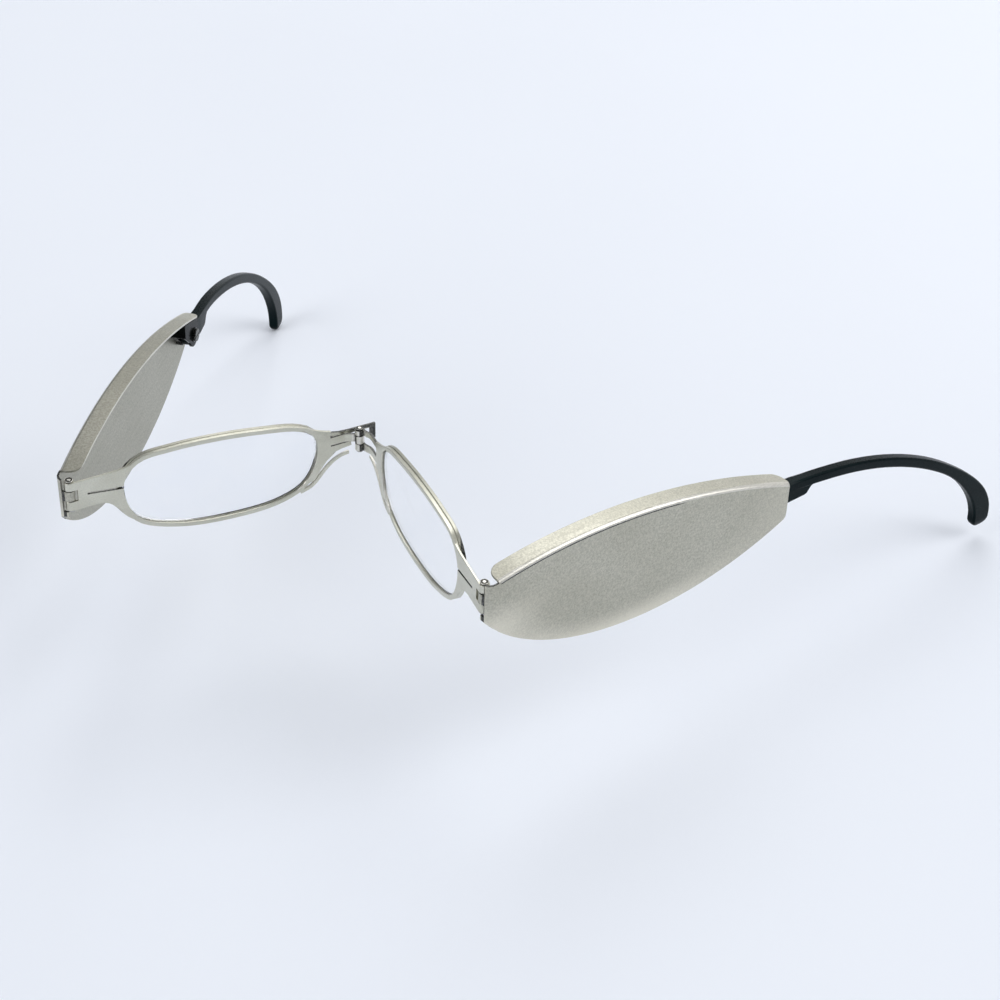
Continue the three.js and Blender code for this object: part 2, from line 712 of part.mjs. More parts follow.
// Cross-section ring of the hook, a rounded rectangle square to its curve.
function hookSection(centre, along, middleX, halfHeight, halfThickness = HOOK_THICKNESS / 2) {
  const corner = Math.min(HOOK_CORNER, 0.9 * halfHeight);
  const ring = [];
  for (let quarter = 0; quarter < 4; quarter++)
    for (const turn of [0, 0.25, 0.5, 0.75, 1]) {
      const angle = ((quarter + turn) * Math.PI) / 2;
      const signX = quarter === 0 || quarter === 3 ? 1 : -1;
      const signZ = quarter < 2 ? 1 : -1;
      const across = signX * (halfThickness - corner) + corner * Math.cos(angle);
      const rise = signZ * (halfHeight - corner) + corner * Math.sin(angle);
      ring.push(
        new THREE.Vector3(middleX + across, centre.x - along.y * rise, centre.y + along.x * rise),
      );
    }
  return ring;
}

// The hook in its own frame, with the pivot at the origin.
function hookBody() {
  const curve = cubic(HOOK_CURVE);
  const rings = [];
  for (let i = 0; i <= HOOK_STEPS; i++) {
    const t = i / HOOK_STEPS;
    const joggle = THREE.MathUtils.smoothstep(t, 0, HOOK_JOGGLE_END);
    const middleX = THREE.MathUtils.lerp(HOOK_ROOT_MIDDLE_X, HOOK_ARM_MIDDLE_X, joggle);
    const swell = THREE.MathUtils.smoothstep(t, ...HOOK_SWELL);
    const halfHeight = THREE.MathUtils.lerp(HOOK_HALF_HEIGHT, HOOK_TIP_HALF_HEIGHT, swell);
    rings.push(hookSection(curve.getPoint(t), curve.getTangent(t), middleX, halfHeight));
  }
  const end = curve.getPoint(1);
  const along = curve.getTangent(1);
  for (let i = 1; i <= HOOK_TIP_STEPS; i++) {
    const angle = (i / (HOOK_TIP_STEPS + 0.5)) * (Math.PI / 2);
    const centre = end.clone().addScaledVector(along, Math.sin(angle) * HOOK_TIP_LENGTH);
    const halfHeight = HOOK_TIP_HALF_HEIGHT * Math.cos(angle);
    const halfThickness = HOOK_THICKNESS / 2 - HOOK_TIP_TAPER * (1 - Math.cos(angle));
    rings.push(hookSection(centre, along, HOOK_ARM_MIDDLE_X, halfHeight, halfThickness));
  }
  const arm = skin(rings);
  const root = sidePlate(polygon(HOOK_ROOT), -HOOK_THICKNESS, HOOK_THICKNESS).intersect(
    topPlate(polygon(HOOK_ROOT_TOP_VIEW), -PIVOT_Y, PIVOT_Y),
  );
  const tenon = sidePlate(
    polygon([
      [0, TENON_RADIUS],
      [0, -TENON_RADIUS],
      [4.8, -TENON_RADIUS],
      [4.8, 1.4],
      [2.6, 1.4],
    ]),
    -TENON_HALF,
    TENON_HALF,
  );
  const boss = sidePlate(disc(0, 0, TENON_RADIUS), -TENON_HALF, TENON_HALF);
  const bore = sidePlate(disc(0, 0, SCREW_BORE), -HOOK_THICKNESS, HOOK_THICKNESS);
  return cut(join(arm, root, tenon, boss), bore);
}

// ---- Assembly ----

const brushedSteel = { color: 0xb9b9b0, roughness: 0.42, metalness: 1 };
const polishedSteel = { color: 0xc8c8c4, roughness: 0.25, metalness: 1 };
const blackPlastic = { color: 0x1c2426, roughness: 0.45, metalness: 0 };
const clearLens = { color: 0xe6f0f6, roughness: 0.05, metalness: 0, transparent: true, opacity: 0.3 };
const brass = { color: 0xb08d4a, roughness: 0.35, metalness: 1 };

function piece(name, body, finish) {
  const mesh = new THREE.Mesh(geometryOf(body), new THREE.MeshStandardMaterial(finish));
  mesh.name = name;
  return mesh;
}

function group(children, { position = [0, 0, 0], turnX = 0, turnZ = 0 } = {}) {
  const made = new THREE.Group();
  made.add(...children);
  made.position.set(...position);
  made.rotation.set(THREE.MathUtils.degToRad(turnX), 0, THREE.MathUtils.degToRad(turnZ));
  return made;
}

// One half of the glasses. Both are built as the right half; the left one is a mirror image.
function half(side, isLeft, templeAngle, hookDroop) {
  const hook = group([piece(`${side}_ear_hook`, hookBody(), blackPlastic)], {
    position: [0, PIVOT_Y, PIVOT_Z],
    turnX: -hookDroop,
  });
  const temple = group(
    [
      piece(`${side}_temple_shell`, shellBody(), brushedSteel),
      piece(`${side}_hook_bracket`, bracketBody(), blackPlastic),
      piece(`${side}_hook_threaded_insert`, threadedInsertBody(), brass),
      piece(`${side}_hook_pivot_screw`, pivotScrewBody(), polishedSteel),
      piece(`${side}_hook_friction_washer`, frictionWasherBody(), polishedSteel),
      hook,
    ],
    { position: [HALF_SPAN, TEMPLE_PIN_SETBACK, 0], turnZ: templeAngle },
  );
  const front = group(
    [
      piece(`${side}_front_frame`, frontBody(isLeft), brushedSteel),
      piece(`${side}_lens`, lensBody(), clearLens),
      piece(`${side}_temple_hinge_pin`, templePin(), polishedSteel),
      temple,
    ],
    { position: [0, BRIDGE_PIN_LEAD, 0] },
  );
  if (isLeft) front.add(piece("bridge_hinge_pin", bridgePin(), polishedSteel));
  const turned = group([front], { turnZ: -HALF_FRONT_ANGLE });
  const made = group([turned]);
  made.scale.x = isLeft ? -1 : 1;
  return made;
}

const glasses = group([
  half("left", true, LEFT_TEMPLE_ANGLE, LEFT_HOOK_DROOP),
  half("right", false, RIGHT_TEMPLE_ANGLE, RIGHT_HOOK_DROOP),
]);

// The part's origin is under the middle of its bounding box, at the level of its lowest point.
glasses.updateMatrixWorld(true);
const bounds = new THREE.Box3().setFromObject(glasses, true);
const middle = bounds.getCenter(new THREE.Vector3());
glasses.position.set(-middle.x, -middle.y, -bounds.min.z);

export default glasses;
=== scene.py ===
"""Looks for the folding reading glasses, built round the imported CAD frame. Metres, +Z up."""

import json
import math

import bmesh
import bpy
from mathutils import Matrix, Vector

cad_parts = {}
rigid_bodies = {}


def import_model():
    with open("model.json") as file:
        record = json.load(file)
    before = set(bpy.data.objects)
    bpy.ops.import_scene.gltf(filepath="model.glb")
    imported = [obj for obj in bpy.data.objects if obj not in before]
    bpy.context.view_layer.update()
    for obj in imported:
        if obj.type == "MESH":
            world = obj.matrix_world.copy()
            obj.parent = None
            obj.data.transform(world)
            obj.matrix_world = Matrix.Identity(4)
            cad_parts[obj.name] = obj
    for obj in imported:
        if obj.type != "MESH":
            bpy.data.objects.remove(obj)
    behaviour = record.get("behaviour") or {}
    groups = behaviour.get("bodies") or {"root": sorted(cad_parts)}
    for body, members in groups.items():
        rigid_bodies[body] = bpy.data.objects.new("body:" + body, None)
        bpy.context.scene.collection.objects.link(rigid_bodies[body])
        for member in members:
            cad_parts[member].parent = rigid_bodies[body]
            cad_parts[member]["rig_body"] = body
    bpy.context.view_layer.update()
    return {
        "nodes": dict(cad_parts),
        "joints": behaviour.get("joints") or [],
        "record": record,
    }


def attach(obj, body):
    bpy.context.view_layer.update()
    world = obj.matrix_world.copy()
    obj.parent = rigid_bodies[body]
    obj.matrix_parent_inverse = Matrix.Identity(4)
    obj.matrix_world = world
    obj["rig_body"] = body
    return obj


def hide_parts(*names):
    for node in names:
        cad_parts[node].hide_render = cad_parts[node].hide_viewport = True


MM = 0.001
TO_MM = Matrix.Scale(1 / MM, 4)

# How the half fronts stand at rest, in radians and millimetres
HALF_FRONT_ANGLE = math.radians(48)
BRIDGE_PIN_LEAD = 1.5

# Zones of a half front, in millimetres of its own frame
STOP_PLATE_START = -1.7
BRIDGE_REACH = 6.2
KNUCKLE_RADIUS = 1.7
NOSE_STRIP_REACH = 13.5
NOSE_STRIP_TOP = -8.6
RIM_CORNER_START = 50.3
RIM_CORNER_END = 53
RIM_SEAM = 0.85
UPPER_RIM = -6
SLIT_START = 49
SLIT_END = 61
SLIT_LOW = -3.1
SLIT_HIGH = -0.3

# Zones of a temple shell, in millimetres of its own frame
SHELL_START = 1.6
SHELL_LENGTH = 76
BEND_INNER = 1.6
BEND_LINE_END = 48
FLANGE_EDGE = -1.5
HINGE_RADIUS = 1.25

# Where a painted highlight brightens a shell's lower border, in millimetres of its own frame
SHEEN_FREE_MIDDLE_BACK = 40
SHEEN_FREE_MIDDLE_UP = -9
SHEEN_REACH_BACK = 43
SHEEN_REACH_UP = 14.5
SHEEN_START = 0.55
SHEEN_TOP = -1
SHEEN_FULL = -9
SHEEN_FADE_START = 35
SHEEN_FADE_END = 70
SHEEN_AT_REAR = 0.25

# Where one zone ends and the next starts, as the part of a face's unit normal along an axis
MAINLY = 0.5
SLIT_WALL = 0.8
RIM_TOP = 0.3
CORNER_OUT = 0.6
KNUCKLE_FRONT = -0.4
HINGE_SIDE = 0.4
HINGE_END = 0.7
FLANGE_SLOPE = 0.94
BEND_LOW = 0.2
BEND_LINE = 0.05
PIN_END = 0.9
LENS_FACE = 0.95

# Softened edges, in millimetres. An edge is rounded if it is sharper than SHARP_ANGLE, and it
# and the edges it meets are all longer than CROWDING times the rounding.
SHARP_ANGLE = math.radians(28)
CROWDING = 1.8
WELD = 0.0001
EDGE_SEGMENTS = 3
EDGE_ROUNDING = {
    "front_frame": 0.07,
    "temple_shell": 0.08,
    "hinge_pin": 0.12,
    "bracket": 0.12,
    "pivot_screw": 0.08,
}

# The lens's curved faces, in millimetres
LENS_RINGS = 10
LENS_FRONT_BULGE = 0.3
LENS_BACK_HOLLOW = 0.25

# The ring pressed into a pin's end and painted dark as painted shade: its two sloping sides, in
# millimetres from the axis
PIN_RING_INNER = (0.3, 0.45)
PIN_RING_OUTER = (0.8, 0.68)

# Nearly all of a noise's values lie between these
NOISE_LOW = 0.3
NOISE_HIGH = 0.7

# Colours, linear
BLACK = (0, 0, 0, 1)
BLASTED_DULL = (0.53, 0.515, 0.43, 1)
BLASTED_PALE = (0.59, 0.575, 0.49, 1)
BLASTED_PITS = (0.33, 0.32, 0.27, 1)
BLASTED_SHEEN = (0.82, 0.78, 0.66, 1)
PRESSED_DULL = (0.58, 0.57, 0.48, 1)
PRESSED_PALE = (0.66, 0.65, 0.56, 1)
PRESSED_PITS = (0.42, 0.41, 0.35, 1)
HIGHLIGHT_DULL = (0.64, 0.62, 0.56, 1)
HIGHLIGHT_PALE = (0.74, 0.72, 0.66, 1)
OXIDE_AND_SHADE_DARK = (0.045, 0.045, 0.045, 1)
OXIDE_AND_SHADE_PALE = (0.12, 0.12, 0.11, 1)
STEEL_DULL = (0.34, 0.33, 0.31, 1)
STEEL_PALE = (0.55, 0.54, 0.50, 1)
BRASS_DULL = (0.46, 0.30, 0.11, 1)
BRASS_PALE = (0.62, 0.44, 0.18, 1)
PEENED_DULL = (0.58, 0.56, 0.51, 1)
PEENED_PALE = (0.74, 0.72, 0.66, 1)
PIN_END_RING_SHADE = (0.04, 0.04, 0.035, 1)
GLOSSY_DARK = (0.0006, 0.001, 0.001, 1)
GLOSSY_PALE = (0.001, 0.002, 0.002, 1)
SATIN_DARK = (0.0008, 0.004, 0.005, 1)
SATIN_PALE = (0.0014, 0.006, 0.007, 1)
SATIN_GLINT = (0.7, 0.96, 1, 1)
LENS_CLEAN = (0.99, 0.995, 1.0, 1)
LENS_SMEARED = (0.975, 0.985, 1.0, 1)
LENS_SHADOW = (0.97, 0.985, 1.0, 1)
FLOOR_DULL = (0.82, 0.85, 0.91, 1)
FLOOR_PALE = (0.85, 0.88, 0.94, 1)
ROOM_COLOUR = (0.88, 0.91, 0.96, 1)

# How much black the shaded sheets take, from 0 to 1
SHELL_INSIDE_SHADE = 0.12
LEFT_FLANGE_SHADE = 0.28
RIM_TOP_SHADE = 0.25

# The stage: the floor's side in metres, and where it fades into the room, in millimetres
FLOOR_SIDE = 6.0
FADE_START = 350
FADE_END = 1000

# The room's light: its strength low down, high up and as the camera sees it, and where it rises
ROOM_LOW = 0.18
ROOM_HIGH = 0.5
ROOM_SEEN = 0.95
ROOM_RISE_START = 0.05
ROOM_RISE_END = 0.45

# The camera, in metres and radians; its lens and sensor are in millimetres
VIEW_TARGET = Vector((0.00118, -0.02715, 0.03855))
VIEW_AZIMUTH = math.radians(18.14)
VIEW_ELEVATION = math.radians(37.13)
VIEW_ROLL = math.radians(1.99)
VIEW_DISTANCE = 0.4589
VIEW_NEAR = 0.02
VIEW_FAR = 20
VIEW_LENS = 77.9
VIEW_SENSOR = 36

# A Mix node's colour sockets, which share their names with its other sockets
MIX_FACTOR, MIX_FIRST, MIX_SECOND, MIX_RESULT = 0, 6, 7, 2

# A piece's materials, by zone
PLAIN, BRIGHT, DARK, SHADED, FLANGE = range(5)

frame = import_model()
joints = {joint["name"]: joint for joint in frame["joints"]}


# ---- Frames of the parts ----


def local_frame(origin, out, back):
    """Matrix from the row frame to a part's own frame: x outwards, y backwards, z up, in mm."""
    axes = Matrix((out, back, (0, 0, 1))).to_4x4()
    return TO_MM @ axes @ Matrix.Translation(-Vector(origin))


def front_frame(side):
    """x runs out from the bridge pin along the half front, y runs back from its front face."""
    sign = 1 if side == "right" else -1
    sine, cosine = math.sin(HALF_FRONT_ANGLE), math.cos(HALF_FRONT_ANGLE)
    out = Vector((sign * cosine, -sine, 0))
    back = Vector((sign * sine, cosine, 0))
    pin = Vector(joints["bridge_fold"]["pos_m"])
    return local_frame(pin + back * BRIDGE_PIN_LEAD * MM, out, back)


def temple_frame(side):
    """x runs outboard from the temple pin, y runs back along the temple."""
    sign = 1 if side == "left" else -1
    out = Vector(joints[side + "_hook_fold"]["axis"]) * sign
    back = Vector((out.y, -out.x, 0)) * sign
    return local_frame(joints[side + "_temple_fold"]["pos_m"], out, back)


# ---- Materials ----


class Nodes:
    """Short calls that add nodes to a tree."""

    def __init__(self, tree):
        self.tree = tree

    def node(self, kind, inputs=None, **settings):
        made = self.tree.nodes.new(kind)
        for key, value in settings.items():
            setattr(made, key, value)
        for key, value in (inputs or {}).items():
            self.feed(made.inputs[key], value)
        return made

    def feed(self, socket, value):
        if isinstance(value, bpy.types.NodeSocket):
            self.tree.links.new(value, socket)
        else:
            socket.default_value = value

    def ramp(self, value, start, end, low=0.0, high=1.0):
        """A smooth step from low to high as the value goes from start to end."""
        made = self.node(
            "ShaderNodeMapRange",
            {"Value": value, "From Min": start, "From Max": end, "To Min": low, "To Max": high},
            interpolation_type="SMOOTHSTEP",
        )
        return made.outputs["Result"]

    def times(self, first, second):
        made = self.node("ShaderNodeMath", {0: first, 1: second}, operation="MULTIPLY")
        return made.outputs["Value"]

    def mix(self, factor, first, second):
        inputs = {MIX_FACTOR: factor, MIX_FIRST: first, MIX_SECOND: second}
        return self.node("ShaderNodeMix", inputs, data_type="RGBA").outputs[MIX_RESULT]

    def length(self, vector):
        made = self.node("ShaderNodeVectorMath", {0: vector}, operation="LENGTH")
        return made.outputs["Value"]


class Shader(Nodes):
    """A Principled material. Sizes are in millimetres of the part's own frame."""

    def __init__(self, name):
        self.material = bpy.data.materials.new(name)
        self.material.use_nodes = True
        super().__init__(self.material.node_tree)
        self.surface = self.tree.nodes["Principled BSDF"]
        self.place = self.node("ShaderNodeAttribute", attribute_name="local").outputs["Vector"]

    def moved(self, move=(0, 0, 0), scale=(1, 1, 1)):
        """The place, scaled and then moved."""
        made = self.node(
            "ShaderNodeMapping", {"Vector": self.place, "Location": move, "Scale": scale}
        )
        return made.outputs["Vector"]

    def noise(self, size, detail=2.0, roughness=0.5, stretch=(1, 1, 1)):
        """Noise whose grains are about size across, drawn out along axes of small stretch."""
        inputs = {
            "Vector": self.moved(scale=stretch),
            "Scale": 1 / size,
            "Detail": detail,
            "Roughness": roughness,
        }
        return self.node("ShaderNodeTexNoise", inputs).outputs["Fac"]

    def between(self, noise, low=0.0, high=1.0):
        """The noise's usual span, stretched to run from low to high."""
        return self.ramp(noise, NOISE_LOW, NOISE_HIGH, low, high)

    def bump(self, height, depth, strength, before=None):
        made = self.node(
            "ShaderNodeBump", {"Height": height, "Distance": depth * MM, "Strength": strength}
        )
        if before is not None:
            self.feed(made.inputs["Normal"], before)
        return made.outputs["Normal"]

    def finish(self, **inputs):
        """Feeds the surface's inputs, named with _ for a space."""
        for key, value in inputs.items():
            self.feed(self.surface.inputs[key.replace("_", " ")], value)
        return self.material

    def cover(self, factor, other):
        """Shows another shader in place of the surface, as far as the factor says."""
        both = self.node(
            "ShaderNodeMixShader", {0: factor, 1: self.surface.outputs["BSDF"], 2: other}
        )
        self.feed(self.tree.nodes["Material Output"].inputs["Surface"], both.outputs["Shader"])


def blasted_steel(name, front_shade=0.0, rear_shade=0.0, sheen_and_wear=0.85):
    """The shells' bead-blasted sheet, with a painted highlight along its lower and front borders
    and painted shade that can darken it along its length.
    """
    s = Shader(name)
    grain = s.noise(size=0.42, detail=3, roughness=0.8)
    cloud = s.noise(size=16, detail=3)
    scuffs = s.noise(size=0.5, stretch=(1, 0.04, 1))
    centred = s.moved(
        move=(0, -SHEEN_FREE_MIDDLE_BACK / SHEEN_REACH_BACK, -SHEEN_FREE_MIDDLE_UP / SHEEN_REACH_UP),
        scale=(0, 1 / SHEEN_REACH_BACK, 1 / SHEEN_REACH_UP),
    )
    place = s.node("ShaderNodeSeparateXYZ", {"Vector": s.place}).outputs
    # Painted highlight: the sheet is painted paler towards its lower border and its front, less so
    # towards the rear.
    painted_sheen = s.times(
        s.ramp(s.length(centred), SHEEN_START, 1), s.ramp(place["Z"], SHEEN_TOP, SHEEN_FULL)
    )
    painted_sheen = s.times(painted_sheen, s.ramp(place["Y"], SHEEN_FADE_START, SHEEN_FADE_END, 1, SHEEN_AT_REAR))
    tint = s.mix(s.between(cloud), BLASTED_DULL, BLASTED_PALE)
    tint = s.mix(s.between(grain, high=0.8), tint, BLASTED_PITS)
    tint = s.mix(s.times(painted_sheen, sheen_and_wear), tint, BLASTED_SHEEN)
    shade = s.ramp(place["Y"], 0, SHELL_LENGTH, front_shade, rear_shade)
    return s.finish(
        Base_Color=s.mix(shade, tint, BLACK),
        Metallic=1.0,
        Roughness=s.between(scuffs, 0.38, 0.46),
        Normal=s.bump(grain, depth=0.02, strength=0.5),
    )


def pressed_steel(name, shade=0.0):
    """The fronts' sheet, drawn smooth along its length."""
    s = Shader(name)
    cloud = s.noise(size=7, detail=3)
    grain = s.noise(size=0.3, roughness=0.6)
    lines = s.noise(size=0.12, stretch=(0.06, 1, 1))
    tint = s.mix(s.between(cloud), PRESSED_DULL, PRESSED_PALE)
    tint = s.mix(s.between(grain, high=0.35), tint, PRESSED_PITS)
    lined = s.bump(lines, depth=0.008, strength=0.3)
    return s.finish(
        Base_Color=s.mix(shade, tint, BLACK),
        Metallic=1.0,
        Roughness=s.between(lines, 0.27, 0.36),
        Normal=s.bump(grain, depth=0.01, strength=0.35, before=lined),
    )


def painted_highlight_steel():
    """Paler steel with fine lines, painted on bends, cut edges, knuckles and nose strips as a
    painted highlight.
    """
    s = Shader("painted_highlight_steel")
    lines = s.noise(size=0.25, detail=3, stretch=(1, 0.08, 1))
    return s.finish(
        Base_Color=s.mix(s.between(lines), HIGHLIGHT_DULL, HIGHLIGHT_PALE),
        Metallic=1.0,
        Roughness=s.between(lines, 0.36, 0.44),
        Normal=s.bump(lines, depth=0.008, strength=0.2),
    )


def oxide_and_painted_shade_steel():
    """Oxide-darkened screws, and painted shade on hinge gaps, the stop plates, slits, cut edges at
    the bridge, the rims' outer corners and a line below the shells' bend.
    """
    s = Shader("oxide_and_painted_shade_steel")
    patches = s.noise(size=0.4, detail=3)
    return s.finish(
        Base_Color=s.mix(s.between(patches), OXIDE_AND_SHADE_DARK, OXIDE_AND_SHADE_PALE),
        Metallic=1.0,
        Roughness=s.between(patches, 0.2, 0.34),
        Normal=s.bump(patches, depth=0.012, strength=0.4),
    )


def turned_metal(name, dull, pale):
    """Rings left by the lathe round an upright pin, or fine grain on other turned parts."""
    s = Shader(name)
    rings = s.noise(size=0.15, stretch=(0.05, 0.05, 1))
    grain = s.noise(size=0.3, detail=3)
    return s.finish(
        Base_Color=s.mix(s.between(grain), dull, pale),
        Metallic=1.0,
        Roughness=s.between(rings, 0.18, 0.32),
        Normal=s.bump(rings, depth=0.012, strength=0.4),
    )


def pin_end():
    """A peened pin end: a pale middle and rim, with a ring pressed between them and painted near
    black as painted shade.
    """
    s = Shader("pin_end")
    reach = s.length(s.moved(scale=(1, 1, 0)))
    sheen_and_wear = s.noise(size=0.35, detail=3)
    ring = s.times(s.ramp(reach, *PIN_RING_INNER), s.ramp(reach, *PIN_RING_OUTER))
    tint = s.mix(s.between(sheen_and_wear), PEENED_DULL, PEENED_PALE)
    return s.finish(
        Base_Color=s.mix(ring, tint, PIN_END_RING_SHADE),
        Metallic=1.0,
        Roughness=s.between(sheen_and_wear, 0.2, 0.3),
        Normal=s.bump(ring, depth=-0.06, strength=0.8),
    )


def glossy_plastic():
    """The brackets' polished black moulding."""
    s = Shader("glossy_plastic")
    waves = s.noise(size=2.5)
    return s.finish(
        Base_Color=s.mix(s.between(waves), GLOSSY_DARK, GLOSSY_PALE),
        Roughness=s.between(waves, 0.16, 0.26),
        Normal=s.bump(waves, depth=0.05, strength=0.5),
        Specular_IOR_Level=0.06,
    )


def black_plastic():
    """The hooks' satin moulded nylon, with a fine grain and a few paler patches worn by rubbing.
    """
    s = Shader("black_plastic")
    grain = s.noise(size=0.3, detail=3, roughness=0.6)
    patches = s.noise(size=5, detail=3)
    return s.finish(
        Base_Color=s.mix(s.between(patches), SATIN_DARK, SATIN_PALE),
        Roughness=s.between(grain, 0.24, 0.36),
        Normal=s.bump(grain, depth=0.03, strength=0.35),
        Specular_IOR_Level=0.065,
        Specular_Tint=SATIN_GLINT,
    )


def clear_lens():
    """Clear acrylic with a faint cool tint and slight smears. Lamps shine straight through it."""
    s = Shader("clear_lens")
    smears = s.noise(size=7, detail=4)
    shadow = s.node("ShaderNodeLightPath").outputs["Is Shadow Ray"]
    clear = s.node("ShaderNodeBsdfTransparent", {"Color": LENS_SHADOW})
    s.cover(shadow, clear.outputs["BSDF"])
    return s.finish(
        Base_Color=s.mix(s.between(smears), LENS_CLEAN, LENS_SMEARED),
        Roughness=s.between(smears, 0, 0.02),
        IOR=1.49,
        Transmission_Weight=1.0,
    )


def floor_paint():
    """Pale paint that fades into the room's colour far away from the glasses."""
    s = Shader("floor_paint")
    cloud = s.noise(size=300)
    seen = s.node("ShaderNodeLightPath").outputs["Is Camera Ray"]
    far = s.ramp(s.length(s.place), FADE_START, FADE_END)
    glow = s.node("ShaderNodeEmission", {"Color": ROOM_COLOUR, "Strength": ROOM_SEEN})
    s.cover(s.times(seen, far), glow.outputs["Emission"])
    return s.finish(
        Base_Color=s.mix(s.between(cloud), FLOOR_DULL, FLOOR_PALE),
        Roughness=s.between(cloud, 0.8, 0.95),
    )


# ---- Zones: which of a piece's materials a face takes ----


def shell_zone(centre, normal):
    """Painted highlight on the long bend and the flange's edge, painted shade below the bend and
    at the hinge.
    """
    if centre.y < SHELL_START:
        lengthways = abs(normal.x) < HINGE_SIDE and abs(normal.z) < HINGE_END
        window = lengthways and math.hypot(centre.x, centre.y) > HINGE_RADIUS
        if window or abs(normal.z) > HINGE_END:
            return DARK
    if centre.x > BEND_INNER and centre.y > SHELL_START and normal.x > BEND_LINE:
        if normal.z > BEND_LOW:
            return BRIGHT if normal.z < FLANGE_SLOPE else FLANGE
        on_line = normal.z > BEND_LINE and centre.y < BEND_LINE_END
        return DARK if on_line else PLAIN
    if normal.x < -MAINLY:
        return BRIGHT if centre.x < FLANGE_EDGE else SHADED
    return FLANGE if normal.z > FLANGE_SLOPE else PLAIN


def front_zone(centre, normal):
    """Painted shade on cut edges at the bridge, the stop plate, the knuckles' backs, the slit and
    the rim's outer corner, and on the rims' upper walls; painted highlights on the knuckles'
    fronts and the nose strips.
    """
    if centre.x < STOP_PLATE_START:
        return DARK
    from_pin = math.hypot(centre.x, centre.y + BRIDGE_PIN_LEAD)
    if from_pin < KNUCKLE_RADIUS and abs(normal.z) < MAINLY:
        return BRIGHT if normal.y < KNUCKLE_FRONT else DARK
    cut_edge = abs(normal.y) < MAINLY
    nose_strip = centre.x < NOSE_STRIP_REACH and centre.z < NOSE_STRIP_TOP
    bridge = centre.x < BRIDGE_REACH and not nose_strip
    outward = normal.x + normal.z > CORNER_OUT
    rear_strand = centre.y > RIM_SEAM and centre.z > SLIT_LOW and outward
    rim_corner = RIM_CORNER_START < centre.x < RIM_CORNER_END and rear_strand
    along_slit = SLIT_START < centre.x < SLIT_END and SLIT_LOW < centre.z < SLIT_HIGH
    slit = along_slit and abs(normal.z) > SLIT_WALL
    if cut_edge and (bridge or slit or rim_corner):
        return DARK
    if nose_strip and cut_edge and normal.z > 0:
        return BRIGHT
    upper_wall = cut_edge and normal.z > RIM_TOP and centre.z > UPPER_RIM
    return SHADED if upper_wall and centre.y > RIM_SEAM else PLAIN


def pin_zone(centre, normal):
    """A pin's ends are peened and its side is turned."""
    return PLAIN if abs(normal.z) > PIN_END else BRIGHT


# ---- Pieces made from the CAD nodes ----


def add(name, data):
    made = bpy.data.objects.new(name, data)
    bpy.context.scene.collection.objects.link(made)
    return made


def keep_places(data, place):
    """Stores each vertex's place in the part's own frame, which the materials read."""
    local = data.attributes.new("local", "FLOAT_VECTOR", "POINT")
    for vertex, stored in zip(data.vertices, local.data):
        stored.vector = place @ vertex.co


def ring_order(edges):
    """The vertices of one closed loop of edges, in order."""
    left = set(edges[1:])
    loop = list(edges[0].verts)
    while left:
        edge = next(e for e in loop[-1].link_edges if e in left)
        left.remove(edge)
        loop.append(edge.other_vert(loop[-1]))
    return loop[:-1]


def curve_cap(mesh, faces, bulge):
    """Replaces a flat cap by rings of faces that bulge along a vector."""
    cap = set(faces)
    borders = [e for face in faces for e in face.edges if sum(f in cap for f in e.link_faces) == 1]
    bmesh.ops.delete(mesh, geom=faces, context="FACES_ONLY")
    loose = [e for e in mesh.edges if not e.link_faces]
    bmesh.ops.delete(mesh, geom=loose, context="EDGES")
    outer = ring_order(borders)
    middle = sum((v.co for v in outer), Vector()) / len(outer)
    ring = outer
    for step in range(1, LENS_RINGS):
        share = 1 - step / LENS_RINGS
        lift = bulge * (1 - share * share)
        inner = [mesh.verts.new(middle + (v.co - middle) * share + lift) for v in outer]
        for i, vert in enumerate(ring):
            j = (i + 1) % len(ring)
            mesh.faces.new((vert, ring[j], inner[j], inner[i]))
        ring = inner
    tip = mesh.verts.new(middle + bulge)
    for i, vert in enumerate(ring):
        mesh.faces.new((vert, ring[(i + 1) % len(ring)], tip))


def curve_lens(mesh, place):
    """Gives a lens its curved front and back."""
    back = place.inverted().to_3x3() @ Vector((0, 1, 0))
    facing = place.to_3x3()
    for sign, bulge in ((-1, LENS_FRONT_BULGE), (1, LENS_BACK_HOLLOW)):
        cap = [f for f in mesh.faces if (facing @ f.normal).normalized().y * sign > LENS_FACE]
        curve_cap(mesh, cap, -back * bulge)
    bmesh.ops.recalc_face_normals(mesh, faces=mesh.faces)


def mark_edges(mesh, rounding):
    """Marks the sharp edges, and those of them that have room to be rounded."""
    weight = mesh.edges.layers.float.new("bevel_weight_edge")
    room = CROWDING * rounding * MM
    for edge in mesh.edges:
        edge.smooth = edge.calc_face_angle(0) < SHARP_ANGLE
        nearby = {e for vert in edge.verts for e in vert.link_edges}
        roomy = all(e.calc_length() > room for e in nearby)
        edge[weight] = 0 if edge.smooth or not roomy else 1


def soften(piece, rounding):
    """Rounds the marked edges and keeps the flat faces' shading flat."""
    if rounding:
        bevel = piece.modifiers.new("soften", "BEVEL")
        bevel.width = rounding * MM
        bevel.segments = EDGE_SEGMENTS
        bevel.limit_method = "WEIGHT"
        bevel.use_clamp_overlap = False
    weigh = piece.modifiers.new("weigh", "WEIGHTED_NORMAL")
    weigh.keep_sharp = True


